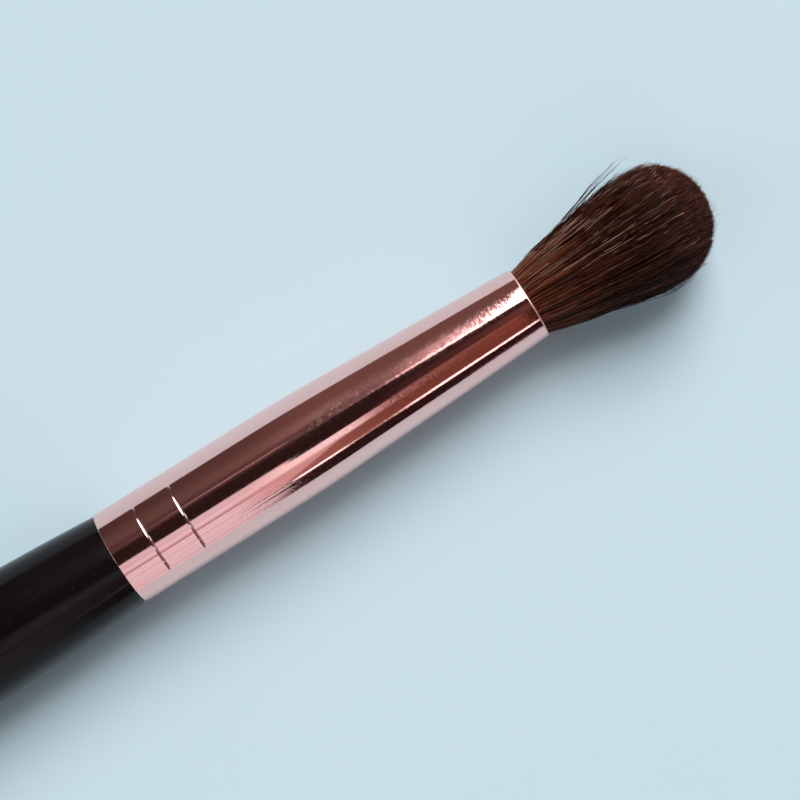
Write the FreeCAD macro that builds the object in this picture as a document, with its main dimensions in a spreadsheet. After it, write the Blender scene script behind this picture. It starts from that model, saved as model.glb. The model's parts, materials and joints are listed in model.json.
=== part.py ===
import FreeCAD, Part
import math
import os

import Sketcher

# A round eyeshadow brush, lying along X with its hair towards +X. Millimetres.
# The row's origin is on the turning axis, in the middle of the parallel land at the handle's fullest point.
# Every piece is turned or drawn about that axis, so each has one outline that is revolved about X.

# Driving dimensions
SIZES = (
    ("handle_length", 119.0, "bare handle, from its shoulder to the tip of its tail"),
    ("grip_radius", 4.9, "handle at its fullest, where the fingers hold it"),
    ("flare_length", 20.0, "from the shoulder to the start of the parallel land"),
    ("land_length", 14.0, "parallel land at the fullest point, under the brush's balance point"),
    ("tail_radius", 2.3, "round end of the handle"),
    ("shoulder_step", 0.1, "how far the handle stays below the tube at the joint"),
    ("tube_radius", 4.2, "metal tube, outside, over the handle's spigot"),
    ("tube_wall", 0.3, "sheet of the metal tube"),
    ("tube_length", 39.8, "metal tube, end to end"),
    ("parallel_length", 15.0, "parallel stretch of the tube, before its taper"),
    ("mouth_radius", 3.21, "metal tube, outside, where the hair comes out"),
    ("taper_blend", 120.0, "radius that blends the parallel stretch into the taper"),
    ("lip_round", 0.22, "rolled outer edge at the mouth"),
    ("cut_edge_round", 0.07, "deburred outer edge at the handle end"),
    ("press_first", 3.35, "first pressed ring, from the tube's handle end"),
    ("press_pitch", 3.4, "from one pressed ring to the next"),
    ("press_depth", 0.12, "depth of a pressed ring"),
    ("press_width", 0.42, "width of a pressed ring on the outside"),
    ("seat_gap", 0.015, "clearance between pieces that are seated in each other"),
    ("glue_film", 0.1, "glue between the spigot and the tube"),
    ("glue_inset", 0.4, "glue stays this far inside the tube's handle end"),
    ("spigot_short", 1.0, "the spigot ends this far before the tube's taper"),
    ("spigot_lead", 0.6, "lead-in chamfer of the spigot"),
    ("hair_length", 16.9, "hair, from the mouth to the crown"),
    ("hair_radius", 4.95, "hair at its fullest"),
    ("hair_fullest", 12.0, "from the mouth to the fullest point"),
    ("flank_radius", 25.0, "long curve of the hair's flank"),
    ("crown_radius", 5.2, "curve of the trimmed crown"),
    ("root_length", 13.0, "hair held inside the tube"),
    ("root_trim", 0.3, "chamfer of the trimmed root end"),
    ("waist_depth", 0.2, "how far the thread draws the hair in"),
    ("waist_from_root", 1.2, "from the root end to the tied waist"),
    ("thread_radius", 0.14, "waxed tying thread"),
    ("thread_turns", 5.0, "turns of the tying thread"),
    ("thread_spacing", 0.02, "gap between neighbouring turns"),
    ("resin_front", 6.5, "from the mouth back to where the resin starts"),
    ("resin_back", 3.0, "resin behind the root end"),
)

doc = FreeCAD.newDocument("EyeshadowBrush")


# The sheet holds the driving dimensions as plain numbers with aliases.
sheet = doc.addObject("Spreadsheet::Sheet", "sizes")
for row, (alias, value, note) in enumerate(SIZES, start=1):
    sheet.set(f"A{row}", alias)
    sheet.set(f"B{row}", str(value))
    sheet.set(f"C{row}", note)
    sheet.setAlias(f"B{row}", alias)
doc.recompute()


def of_sheet(formula):
    """The number that a formula of the sheet's aliases gives."""
    return float(sheet.evalExpression(formula))


def bound(formula):
    """The same formula as an expression that another object can hold."""
    for alias, _, _ in SIZES:
        formula = formula.replace(alias, "sizes." + alias)
    return formula


# Formulas that more than one piece uses
BORE = "(tube_radius - tube_wall)"
MOUTH_BORE = "(mouth_radius - tube_wall)"
BORE_BLEND = "(taper_blend - tube_wall)"
TAPER_RUN = "(tube_length - parallel_length)"
TAPER_RISE = f"({BORE_BLEND} - tube_radius + mouth_radius)"
TAPER_AWAY = f"sqrt({TAPER_RUN} ^ 2 + {TAPER_RISE} ^ 2)"
TAPER_ANGLE = f"(atan({TAPER_RUN} / {TAPER_RISE}) - acos({BORE_BLEND} / {TAPER_AWAY}))"
BEND_LENGTH = f"({BORE_BLEND} * sin({TAPER_ANGLE}))"
SPIGOT = f"({BORE} - glue_film - 2 * seat_gap)"
SPIGOT_LENGTH = "(parallel_length - spigot_short)"
SHOULDER_X = "(flare_length + land_length / 2)"
MOUTH_X = f"({SHOULDER_X} + tube_length)"
STEM = f"({MOUTH_BORE} - seat_gap)"
WAIST = f"({STEM} - waist_depth)"
THREAD_PITCH = "(2 * thread_radius + thread_spacing)"
WAIST_LENGTH = f"({THREAD_PITCH} * thread_turns + 4 * thread_radius)"
# A pressed ring is an arc about a centre outside the tube. Each layer below has the same centre.
PRESS_ARC = "((press_width ^ 2 / 4 + press_depth ^ 2) / (2 * press_depth))"
PRESS_CENTRE = f"(tube_radius + {PRESS_ARC} - press_depth)"
# The ridge inside a pressed ring starts this far into the tube's wall.
RIDGE_START = "(tube_radius - 0.6 * tube_wall)"


def touch_point(point, centre, radius):
    """Where a straight from a point touches the upper side of a circle."""
    away = point - centre
    tilt = math.acos(radius / away.Length)
    angle = math.atan2(away.y, away.x) + math.copysign(tilt, away.x)
    return centre + FreeCAD.Vector(math.cos(angle), math.sin(angle), 0) * radius


def bore_behind_mouth(distance):
    """The formula for the tube's inner radius, this far behind its mouth, in the straight taper or in the bend."""
    from_bend = f"({TAPER_RUN} - {distance})"
    in_taper = f"{MOUTH_BORE} + {distance} * tan({TAPER_ANGLE})"
    in_bend = f"{BORE} - {BORE_BLEND} + sqrt({BORE_BLEND} ^ 2 - {from_bend} ^ 2)"
    return f"({from_bend} > {BEND_LENGTH} ? {in_taper} : {in_bend})"


class Outline:
    """A closed outline on a body's XY plane: X runs along the brush and Y is the radius.

    Every corner is named. Corners and radii are bound to formulas of the sheet, and smooth joins are tangent.
    """

    def __init__(self, body, name):
        self.sketch = body.newObject("Sketcher::SketchObject", name)
        planes = [f for f in body.Origin.OriginFeatures if f.Role == "XY_Plane"]
        self.sketch.AttachmentSupport = [(planes[0], "")]
        self.sketch.MapMode = "FlatFace"
        self.ends = {}
        self.last = None
        self.first = None

    def start(self, corner, x, y):
        self.first = self.last = (corner, FreeCAD.Vector(x, y, 0), None)

    def _join(self, corner, point, edge, head, tail, smooth):
        """Ties the new edge's head to the edge before it, and keeps its tail as the named corner."""
        before = self.last
        if before[2] is None:
            self.ends[before[0]] = (edge, head)
        else:
            kind = "Tangent" if smooth else "Coincident"
            self.sketch.addConstraint(Sketcher.Constraint(kind, *before[2], edge, head))
        if corner == self.first[0]:
            self.sketch.addConstraint(Sketcher.Constraint("Coincident", edge, tail, *self.ends[corner]))
        else:
            self.ends[corner] = (edge, tail)
        self.last = (corner, point, (edge, tail))
        return edge

    def line(self, corner, x=None, y=None, smooth=False):
        """A straight edge to a corner. A coordinate that is left out stays as it was."""
        here = self.last[1]
        point = FreeCAD.Vector(here.x if x is None else x, here.y if y is None else y, 0)
        if corner == self.first[0]:
            point = self.first[1]
        edge = self.sketch.addGeometry(Part.LineSegment(here, point))
        self._join(corner, point, edge, 1, 2, smooth)
        if x is None or (corner == self.first[0] and abs(point.x - here.x) < 1e-9):
            self.sketch.addConstraint(Sketcher.Constraint("Vertical", edge))
        elif y is None:
            self.sketch.addConstraint(Sketcher.Constraint("Horizontal", edge))
        return edge

    def arc(self, corner, x, y, centre, smooth=False):
        """An arc to a corner, the short way round its centre."""
        here, point = self.last[1], FreeCAD.Vector(x, y, 0)
        middle = FreeCAD.Vector(centre[0], centre[1], 0)
        radius = (here - middle).Length
        halfway = ((here + point) / 2 - middle).normalize() * radius + middle
        made = Part.Arc(here, halfway, point)
        edge = self.sketch.addGeometry(made)
        begins = (self.sketch.getPoint(edge, 1) - here).Length < (self.sketch.getPoint(edge, 2) - here).Length
        head, tail = (1, 2) if begins else (2, 1)
        return self._join(corner, point, edge, head, tail, smooth)

    def _bind(self, constraint, formula):
        index = self.sketch.addConstraint(constraint)
        name = "size_%d" % index
        self.sketch.renameConstraint(index, name)
        self.sketch.setExpression("Constraints." + name, bound(formula))

    def place(self, corner, x=None, y=None):
        """Binds a corner's coordinates to formulas."""
        end = self.ends[corner]
        if x == "0" and y == "0":
            self.sketch.addConstraint(Sketcher.Constraint("Coincident", *end, -1, 1))
            return
        for kind, formula, axis in (("DistanceX", x, -2), ("DistanceY", y, -1)):
            if formula == "0":
                self.sketch.addConstraint(Sketcher.Constraint("PointOnObject", *end, axis))
            elif formula is not None:
                self._bind(Sketcher.Constraint(kind, *end, of_sheet(formula)), formula)

    def radius(self, edge, formula):
        self._bind(Sketcher.Constraint("Radius", edge, of_sheet(formula)), formula)

    def centre(self, edge, x=None, y=None):
        """Binds an arc's centre to formulas."""
        for kind, formula, axis in (("DistanceX", x, -2), ("DistanceY", y, -1)):
            if formula == "0":
                self.sketch.addConstraint(Sketcher.Constraint("PointOnObject", edge, 3, axis))
            elif formula is not None:
                self._bind(Sketcher.Constraint(kind, edge, 3, of_sheet(formula)), formula)

    def corners(self, *places):
        """A closed outline of straight edges through (name, x formula, y formula)."""
        spots = [(name, x, y, of_sheet(x), of_sheet(y)) for name, x, y in places]
        self.start(spots[0][0], spots[0][3], spots[0][4])
        for name, x, y, at_x, at_y in spots[1:] + spots[:1]:
            here = self.last[1]
            point = FreeCAD.Vector(at_x, at_y, 0)
            edge = self.sketch.addGeometry(Part.LineSegment(here, point))
            self._join(name, point, edge, 1, 2, False)
        for name, x, y, at_x, at_y in spots:
            self.place(name, x, y)


def new_body(name, x_formula):
    """An empty body whose own origin lies on the axis, at a place bound to the sheet."""
    body = doc.addObject("PartDesign::Body", name)
    body.Label = name
    body.setExpression("Placement.Base.x", bound(x_formula))
    return body


def turn(body, outline, name, kind="PartDesign::Revolution"):
    """Revolves an outline about the brush's axis, as a solid or as a cut."""
    before = body.Shape.Volume if body.Tip else None
    feature = body.newObject(kind, name)
    feature.Profile = outline.sketch
    feature.ReferenceAxis = (outline.sketch, ["H_Axis"])
    feature.Angle = 360
    doc.recompute()
    if kind == "PartDesign::Groove" and not body.Shape.Volume < before:
        raise RuntimeError(f"{name} cut nothing")
    return feature


def round_edge(body, name, x_formula, radius_formula, size_alias):
    """Rounds the circular edge of a body that lies at this place along the axis and has this radius."""
    x, radius = of_sheet(x_formula), of_sheet(radius_formula)
    place = body.Placement.Base.x
    names = []
    for number, edge in enumerate(body.Shape.Edges, start=1):
        curve = edge.Curve
        if not isinstance(curve, Part.Circle):
            continue
        if abs(curve.Center.x - place - x) < 1e-6 and abs(curve.Radius - radius) < 1e-6:
            names.append(f"Edge{number}")
    if not names:
        raise RuntimeError(f"{name} found no edge to round")
    base = body.Tip
    feature = body.newObject("PartDesign::Fillet", name)
    feature.Base = (base, names)
    feature.setExpression("Radius", bound(size_alias))
    doc.recompute()
    body.Tip = feature
    return feature


def repeat_rings(body, features, name):
    """Repeats the first pressed ring's features for the second ring."""
    pattern = body.newObject("PartDesign::LinearPattern", name)
    pattern.Originals = features
    pattern.Direction = (features[0].Profile[0], ["H_Axis"])
    pattern.Occurrences = 2
    pattern.setExpression("Length", bound("press_pitch"))
    body.Tip = pattern
    doc.recompute()
    return pattern


def press_groove(body, name, layer):
    """Cuts the first pressed ring into a piece that lies this depth below the tube's outside."""
    reach = f"({PRESS_ARC} + {layer})"
    outline = Outline(body, name + "_outline")
    x, y, radius = of_sheet("press_first"), of_sheet(PRESS_CENTRE), of_sheet(reach)
    ring = outline.sketch.addGeometry(
        Part.Circle(FreeCAD.Vector(x, y, 0), FreeCAD.Vector(0, 0, 1), radius)
    )
    outline.centre(ring, "press_first", PRESS_CENTRE)
    outline.radius(ring, reach)
    return turn(body, outline, name, "PartDesign::Groove")


def press_ridge(body, name, layer, chord_formula):
    """Adds the ridge that the first pressed ring raises inside a thin piece, from a chord within its wall."""
    reach = f"({PRESS_ARC} + {layer})"
    x, y, radius = of_sheet("press_first"), of_sheet(PRESS_CENTRE), of_sheet(reach)
    chord = of_sheet(chord_formula)
    half = math.sqrt(radius**2 - (y - chord) ** 2)
    outline = Outline(body, name + "_outline")
    outline.start("near", x - half, chord)
    bow = outline.arc("far", x + half, chord, (x, y))
    outline.line("near", x - half)
    outline.centre(bow, "press_first", PRESS_CENTRE)
    outline.radius(bow, reach)
    outline.place("near", y=chord_formula)
    return turn(body, outline, name)


# Handle: one turned piece of hardwood, lacquered, with the spigot that the tube is pressed on to.
def make_handle():
    body = new_body("handle", SHOULDER_X)
    grip, flare = of_sheet("grip_radius"), of_sheet("flare_length")
    shoulder, spigot = of_sheet("tube_radius - shoulder_step"), of_sheet(SPIGOT)
    land_end = -of_sheet("flare_length + land_length")
    length, tail = of_sheet("handle_length"), of_sheet("tail_radius")
    spigot_end, lead = of_sheet(SPIGOT_LENGTH), of_sheet("spigot_lead")
    # The flare is an arc through the shoulder, tangent to the land.
    flare_arc = (flare**2 + (grip - shoulder) ** 2) / (2 * (grip - shoulder))
    # The back is one long arc, tangent to the land and to the round tail.
    tail_x = tail - length
    run = land_end - tail_x
    back_arc = (run**2 + grip**2 - tail**2) / (2 * (grip - tail))
    back_centre = FreeCAD.Vector(land_end, grip - back_arc, 0)
    tail_centre = FreeCAD.Vector(tail_x, 0, 0)
    meet = back_centre + (tail_centre - back_centre).normalize() * back_arc

    outline = Outline(body, "turned_outline")
    outline.start("tail_tip", -length, 0)
    tail_edge = outline.arc("tail_meets_back", meet.x, meet.y, (tail_x, 0))
    outline.arc("land_back", land_end, grip, (back_centre.x, back_centre.y), smooth=True)
    land = outline.line("land_front", -flare, grip, smooth=True)
    outline.arc("shoulder", 0, shoulder, (-flare, grip - flare_arc), smooth=True)
    outline.line("spigot_root", y=spigot)
    outline.line("spigot_front", spigot_end - lead)
    outline.line("spigot_end", spigot_end, spigot - lead)
    outline.line("spigot_centre", y=0)
    outline.line("tail_tip", -length)

    outline.sketch.addConstraint(Sketcher.Constraint("Horizontal", land))
    outline.centre(tail_edge, y="0")
    outline.radius(tail_edge, "tail_radius")
    outline.place("tail_tip", "-handle_length", "0")
    outline.place("land_back", "-(flare_length + land_length)", "grip_radius")
    outline.place("land_front", "-flare_length")
    outline.place("shoulder", "0", "tube_radius - shoulder_step")
    outline.place("spigot_root", y=SPIGOT)
    outline.place("spigot_front", f"{SPIGOT_LENGTH} - spigot_lead")
    outline.place("spigot_end", SPIGOT_LENGTH, f"{SPIGOT} - spigot_lead")
    turn(body, outline, "turned_blank")
    ring = press_groove(body, "pressed_ring", "(tube_wall + glue_film + 2 * seat_gap)")
    repeat_rings(body, [ring], "pressed_rings")
    return body


# Metal tube: drawn and tapered in one piece, rolled at its mouth and pressed into the spigot by two rings.
def make_tube():
    body = new_body("ferrule", SHOULDER_X)
    bend, length = of_sheet("parallel_length"), of_sheet("tube_length")
    outside, bore = of_sheet("tube_radius"), of_sheet(BORE)
    mouth, mouth_bore = of_sheet("mouth_radius"), of_sheet(MOUTH_BORE)
    blend, bore_blend = of_sheet("taper_blend"), of_sheet(BORE_BLEND)
    # Both skins bend from parallel into the taper about one centre.
    centre = FreeCAD.Vector(bend, outside - blend, 0)
    touch_outside = touch_point(FreeCAD.Vector(length, mouth, 0), centre, blend)
    touch_inside = touch_point(FreeCAD.Vector(length, mouth_bore, 0), centre, bore_blend)

    outline = Outline(body, "tube_outline")
    outline.start("back_outside", 0, outside)
    outline.line("bend_outside", bend)
    outer_bend = outline.arc("taper_outside", touch_outside.x, touch_outside.y, centre, smooth=True)
    outline.line("mouth_outside", length, mouth, smooth=True)
    outline.line("mouth_inside", y=mouth_bore)
    outline.line("taper_inside", touch_inside.x, touch_inside.y)
    inner_bend = outline.arc("bend_inside", bend, bore, centre, smooth=True)
    outline.line("back_inside", 0, smooth=True)
    outline.line("back_outside", y=outside)

    outline.place("back_outside", "0", "tube_radius")
    outline.place("bend_outside", "parallel_length")
    outline.radius(outer_bend, "taper_blend")
    outline.place("mouth_outside", "tube_length", "mouth_radius")
    outline.place("mouth_inside", y=MOUTH_BORE)
    outline.radius(inner_bend, BORE_BLEND)
    outline.place("bend_inside", "parallel_length", BORE)
    turn(body, outline, "drawn_tube")
    round_edge(body, "rolled_lip", "tube_length", "mouth_radius", "lip_round")
    round_edge(body, "deburred_edge", "0", "tube_radius", "cut_edge_round")
    ridge = press_ridge(body, "ring_ridge", "tube_wall", RIDGE_START)
    groove = press_groove(body, "ring_groove", "0")
    repeat_rings(body, [ridge, groove], "pressed_rings")
    return body


# Glue: the film that fills the gap between the spigot and the tube, and follows the pressed rings.
def make_glue():
    body = new_body("spigot_glue", SHOULDER_X)
    outline = Outline(body, "film_outline")
    outside, inside = f"({BORE} - seat_gap)", f"({SPIGOT} + seat_gap)"
    glue_end = f"({SPIGOT_LENGTH} - spigot_lead)"
    outline.corners(
        ("back_outside", "glue_inset", outside),
        ("front_outside", glue_end, outside),
        ("front_inside", glue_end, inside),
        ("back_inside", "glue_inset", inside),
    )
    turn(body, outline, "film")
    above = "(tube_wall + seat_gap)"
    ridge = press_ridge(body, "ring_ridge", f"({above} + glue_film)", f"({outside} - glue_film / 2)")
    groove = press_groove(body, "ring_groove", above)
    repeat_rings(body, [ridge, groove], "pressed_rings")
    return body


# Hair: one bundle, tied at its root and trimmed to a round crown. Its own X is zero at the tube's mouth.
def make_hair():
    body = new_body("hair_tuft", MOUTH_X)
    stem, waist, trim = of_sheet(STEM), of_sheet(WAIST), of_sheet("root_trim")
    root = -of_sheet("root_length")
    tie_start = root + of_sheet("waist_from_root")
    tie_end = tie_start + of_sheet(WAIST_LENGTH)
    full_x, full = of_sheet("hair_fullest"), of_sheet("hair_radius")
    flank, crown, length = of_sheet("flank_radius"), of_sheet("crown_radius"), of_sheet("hair_length")
    # The flank leaves the mouth straight and then bows out, tangent to the arc about this centre.
    flank_centre = FreeCAD.Vector(full_x, full - flank, 0)
    bow_start = touch_point(FreeCAD.Vector(0, stem, 0), flank_centre, flank)
    # The shoulder arc is tangent to the flank at the fullest point and to the crown.
    crown_x = length - crown
    across = full_x - crown_x
    shoulder = (across**2 + full**2 - crown**2) / (2 * (full - crown))
    shoulder_centre = FreeCAD.Vector(full_x, full - shoulder, 0)
    crown_centre = FreeCAD.Vector(crown_x, 0, 0)
    crown_start = crown_centre + (shoulder_centre - crown_centre).normalize() * crown

    outline = Outline(body, "bundle_outline")
    outline.start("root_centre", root, 0)
    outline.line("root_end", y=stem - trim)
    outline.line("root_edge", root + trim, stem)
    outline.line("tie_start", tie_start)
    outline.line("tie_start_in", y=waist)
    outline.line("tie_end_in", tie_end)
    outline.line("tie_end", y=stem)
    outline.line("mouth", 0)
    outline.line("bow_start", bow_start.x, bow_start.y)
    bow = outline.arc("fullest", full_x, full, (flank_centre.x, flank_centre.y), smooth=True)
    outline.arc("crown_start", crown_start.x, crown_start.y, (full_x, full - shoulder), smooth=True)
    top = outline.arc("crown_tip", length, 0, (crown_x, 0), smooth=True)
    outline.line("root_centre", root)

    outline.place("root_centre", "-root_length", "0")
    outline.place("root_end", y=f"{STEM} - root_trim")
    outline.place("root_edge", "root_trim - root_length", STEM)
    outline.place("tie_start", "waist_from_root - root_length")
    outline.place("tie_start_in", y=WAIST)
    outline.place("tie_end_in", f"waist_from_root - root_length + {WAIST_LENGTH}")
    outline.place("tie_end", y=STEM)
    outline.place("mouth", "0")
    outline.radius(bow, "flank_radius")
    outline.centre(bow, "hair_fullest")
    outline.place("fullest", "hair_fullest", "hair_radius")
    outline.radius(top, "crown_radius")
    outline.centre(top, y="0")
    outline.place("crown_tip", "hair_length")
    turn(body, outline, "bundle")
    return body


# Tying thread: wound round the waist of the bundle, one turn beside the next.
def make_thread():
    body = new_body("binding_thread", f"{MOUTH_X} - root_length + waist_from_root + 2 * thread_radius")
    outline = Outline(body, "thread_section")
    radius, reach = of_sheet("thread_radius"), of_sheet(f"{WAIST} + seat_gap + thread_radius")
    ring = outline.sketch.addGeometry(
        Part.Circle(FreeCAD.Vector(0, reach, 0), FreeCAD.Vector(0, 0, 1), radius)
    )
    outline.centre(ring, "0", f"{WAIST} + seat_gap + thread_radius")
    outline.radius(ring, "thread_radius")
    winding = body.newObject("PartDesign::AdditiveHelix", "winding")
    winding.Profile = outline.sketch
    winding.ReferenceAxis = (outline.sketch, ["H_Axis"])
    winding.Mode = 1
    winding.setExpression("Pitch", bound(THREAD_PITCH))
    winding.setExpression("Turns", bound("thread_turns"))
    doc.recompute()
    return body


# Resin: poured in behind the bundle, it holds the roots and keys the bundle into the tube's taper.
def make_resin():
    body = new_body("root_resin", MOUTH_X)
    front, back = "-resin_front", "(0 - root_length - resin_back)"
    tie_start = "(waist_from_root - root_length - seat_gap)"
    tie_end = f"(waist_from_root - root_length + {WAIST_LENGTH} + seat_gap)"
    outside_front = f"({bore_behind_mouth('resin_front')} - seat_gap)"
    outside_back = f"({bore_behind_mouth('(root_length + resin_back)')} - seat_gap)"
    round_bundle = f"({STEM} + seat_gap)"
    round_thread = f"({WAIST} + 2 * seat_gap + 2 * thread_radius)"
    pocket_end = "(0 - root_length - seat_gap)"
    outline = Outline(body, "resin_outline")
    outline.corners(
        ("back_centre", back, "0"),
        ("back_outside", back, outside_back),
        ("front_outside", front, outside_front),
        ("front_inside", front, round_bundle),
        ("tie_front", tie_end, round_bundle),
        ("tie_front_out", tie_end, round_thread),
        ("tie_back_out", tie_start, round_thread),
        ("tie_back", tie_start, round_bundle),
        ("pocket_edge", pocket_end, round_bundle),
        ("pocket_centre", pocket_end, "0"),
    )
    turn(body, outline, "casting")
    return body


pieces = [make_handle(), make_tube(), make_glue(), make_hair(), make_thread(), make_resin()]
doc.recompute()

for thing in doc.Objects:
    if {"Invalid", "Error"} & set(thing.State):
        raise RuntimeError(f"{thing.Label} failed: {thing.State}")
for piece in pieces:
    if piece.Shape.isNull() or not piece.Shape.isValid():
        raise RuntimeError(f"{piece.Label} has no valid shape")

os.makedirs("parts", exist_ok=True)
for piece in pieces:
    piece.Shape.exportStep(os.path.join("parts", piece.Label + ".step"))
    box = piece.Shape.BoundBox
    print(
        piece.Label,
        len(piece.Shape.Solids),
        "volume %.2f" % piece.Shape.Volume,
        "x %.3f to %.3f" % (box.XMin, box.XMax),
        "radius %.3f" % box.ZMax,
    )
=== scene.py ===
import json
import math

import bmesh
import bpy
from mathutils import Matrix, Vector


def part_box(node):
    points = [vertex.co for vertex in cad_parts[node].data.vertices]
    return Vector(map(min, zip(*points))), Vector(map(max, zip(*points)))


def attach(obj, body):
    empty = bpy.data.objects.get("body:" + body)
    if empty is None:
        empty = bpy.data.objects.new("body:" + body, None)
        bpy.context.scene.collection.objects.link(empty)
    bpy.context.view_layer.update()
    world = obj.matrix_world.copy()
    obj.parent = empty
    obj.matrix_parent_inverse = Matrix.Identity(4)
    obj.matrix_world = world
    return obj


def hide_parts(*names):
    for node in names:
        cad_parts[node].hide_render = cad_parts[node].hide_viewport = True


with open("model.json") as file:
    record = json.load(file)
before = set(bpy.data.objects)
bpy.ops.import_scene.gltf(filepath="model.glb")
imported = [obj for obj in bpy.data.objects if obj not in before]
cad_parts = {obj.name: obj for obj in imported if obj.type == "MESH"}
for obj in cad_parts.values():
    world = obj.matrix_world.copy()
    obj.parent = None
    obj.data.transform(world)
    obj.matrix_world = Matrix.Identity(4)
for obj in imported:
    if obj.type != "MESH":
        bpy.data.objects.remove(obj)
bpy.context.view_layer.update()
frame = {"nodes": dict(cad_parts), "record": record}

# Camera. It looks straight down on the brush, whose hair points to the upper right of the picture.
# Sizes in this script are in millimetres. MM turns them into metres where a mesh or a place is made.
MM = 0.001
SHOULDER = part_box("ferrule")[0].x / MM
PICTURE_TURN = math.radians(32.03)
CAMERA_AIM = Vector((SHOULDER + 26.5, -1.16, 0.0))
CAMERA_HEIGHT = 205.0
LENS = 111.6
SENSOR = 36.0
NEAREST = 10.0

camera_data = bpy.data.cameras.new("camera")
camera_data.lens = LENS
camera_data.sensor_width = SENSOR
camera_data.clip_start = NEAREST * MM
camera = bpy.data.objects.new("camera", camera_data)
bpy.context.scene.collection.objects.link(camera)
camera_place = Matrix.Translation((CAMERA_AIM + Vector((0, 0, CAMERA_HEIGHT))) * MM)
camera.matrix_world = camera_place @ Matrix.Rotation(-PICTURE_TURN, 4, "Z")
bpy.context.scene.camera = camera
bpy.context.scene.view_settings.view_transform = "Standard"


# Table top. A plain pale blue matt surface. The brush lies on its belly and on its hair.
# The node helpers that every material uses come here, with the first material.
TABLE_SIZE = 6000.0
TABLE_COLOUR = (0.583, 0.75, 0.802, 1)
TABLE_SHADE = (0.573, 0.74, 0.792, 1)
TABLE_ROUGHNESS = 0.65
TABLE_CLOUD = 60.0
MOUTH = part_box("ferrule")[1].x / MM
HAIR_FULL_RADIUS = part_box("hair_tuft")[1].z / MM
HAIR_FULL_PLACE = 12.0
BELLY_RADIUS = frame["record"]["mounts"][0]["dims"]["r_mm"]
# The stretch of its values in which most of a noise lies.
NOISE_SPAN = (0.3, 0.7)


def feed(tree, socket, value):
    """Gives a node's input a plain value, a socket or a Value."""
    if isinstance(value, Value):
        value = value.socket
    if isinstance(value, bpy.types.NodeSocket):
        tree.links.new(value, socket)
    else:
        socket.default_value = value


def in_use(sockets, name):
    """The socket of this name that is in use, since some nodes hold one for each type of data."""
    return next(s for s in sockets if s.enabled and s.name == name)


def node(tree, kind, inputs=None, **settings):
    """A new node with its settings and its named inputs."""
    made = tree.nodes.new(kind)
    for name, value in settings.items():
        setattr(made, name, value)
    for name, value in (inputs or {}).items():
        feed(tree, in_use(made.inputs, name), value)
    return made


def calculate(tree, operation, *values):
    """A Math node on these numbers or Values."""
    made = node(tree, "ShaderNodeMath", operation=operation)
    for socket, value in zip(made.inputs, values):
        feed(tree, socket, value)
    return Value(tree, made.outputs[0])


class Value:
    """A number that flows through a node tree, so that a formula reads as plain arithmetic."""

    def __init__(self, tree, socket):
        self.tree = tree
        self.socket = socket

    def math(self, operation, *others):
        return calculate(self.tree, operation, self, *others)

    def __add__(self, other):
        return self.math("ADD", other)

    def __sub__(self, other):
        return self.math("SUBTRACT", other)

    def __rsub__(self, other):
        return calculate(self.tree, "SUBTRACT", other, self)

    def __mul__(self, other):
        return self.math("MULTIPLY", other)

    def __truediv__(self, other):
        return self.math("DIVIDE", other)

    def __rtruediv__(self, other):
        return calculate(self.tree, "DIVIDE", other, self)

    def __pow__(self, other):
        return self.math("POWER", other)

    __radd__ = __add__
    __rmul__ = __mul__

    def step(self, start, end):
        """Rises smoothly from 0 at start to 1 at end."""
        limits = {"Value": self, "From Min": start, "From Max": end}
        made = node(self.tree, "ShaderNodeMapRange", limits, interpolation_type="SMOOTHSTEP")
        return Value(self.tree, made.outputs["Result"])

    def between(self, low, high, soft):
        """1 between low and high, fading to 0 over soft on each side."""
        return self.step(low - soft, low + soft) * (1 - self.step(high - soft, high + soft))

    def mix(self, low, high):
        """Goes from the colour or number low to high as this value goes from 0 to 1."""
        kind = "RGBA" if isinstance(high, (tuple, bpy.types.NodeSocket)) else "FLOAT"
        made = node(self.tree, "ShaderNodeMix", data_type=kind)
        for name, value in (("Factor", self), ("A", low), ("B", high)):
            feed(self.tree, in_use(made.inputs, name), value)
        result = in_use(made.outputs, "Result")
        return Value(self.tree, result) if kind == "FLOAT" else result


def new_material(name, **constants):
    """A material, its node tree and its Principled shader, whose plain inputs get these values."""
    made = bpy.data.materials.new(name)
    made.use_nodes = True
    shader = next(n for n in made.node_tree.nodes if n.type == "BSDF_PRINCIPLED")
    for title, value in constants.items():
        shader.inputs[title.replace("_", " ")].default_value = value
    return made, made.node_tree, shader


def split(tree, vector):
    """The three parts of a vector or a colour."""
    parts = node(tree, "ShaderNodeSeparateXYZ", {"Vector": vector})
    return [Value(tree, socket) for socket in parts.outputs]


def joined(tree, x, y, z=0.0):
    """A vector of these three parts."""
    return node(tree, "ShaderNodeCombineXYZ", {"X": x, "Y": y, "Z": z}).outputs[0]


def noise(tree, size, stretch=(1, 1, 1), detail=2.0, roughness=0.5):
    """Noise on the piece's own coordinates, in grains of this size in millimetres, stretched this much."""
    place = node(tree, "ShaderNodeTexCoord").outputs["Object"]
    squeeze = tuple(1 / share for share in stretch)
    mapped = node(tree, "ShaderNodeMapping", {"Vector": place, "Scale": squeeze})
    inputs = {
        "Vector": mapped.outputs[0],
        "Scale": 1 / (size * MM),
        "Detail": detail,
        "Roughness": roughness,
    }
    return Value(tree, node(tree, "ShaderNodeTexNoise", inputs).outputs["Fac"])


def bumped(tree, shader, height, depth, strength):
    """Gives the shader fine relief, with this depth in millimetres."""
    made = node(tree, "ShaderNodeBump", {"Strength": strength, "Distance": depth * MM, "Height": height})
    feed(tree, shader.inputs["Normal"], made.outputs[0])


def new_object(name, mesh, *materials):
    """Puts a mesh into the scene with its materials."""
    made = bpy.data.objects.new(name, mesh)
    bpy.context.scene.collection.objects.link(made)
    for material in materials:
        mesh.materials.append(material)
    return made


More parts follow.
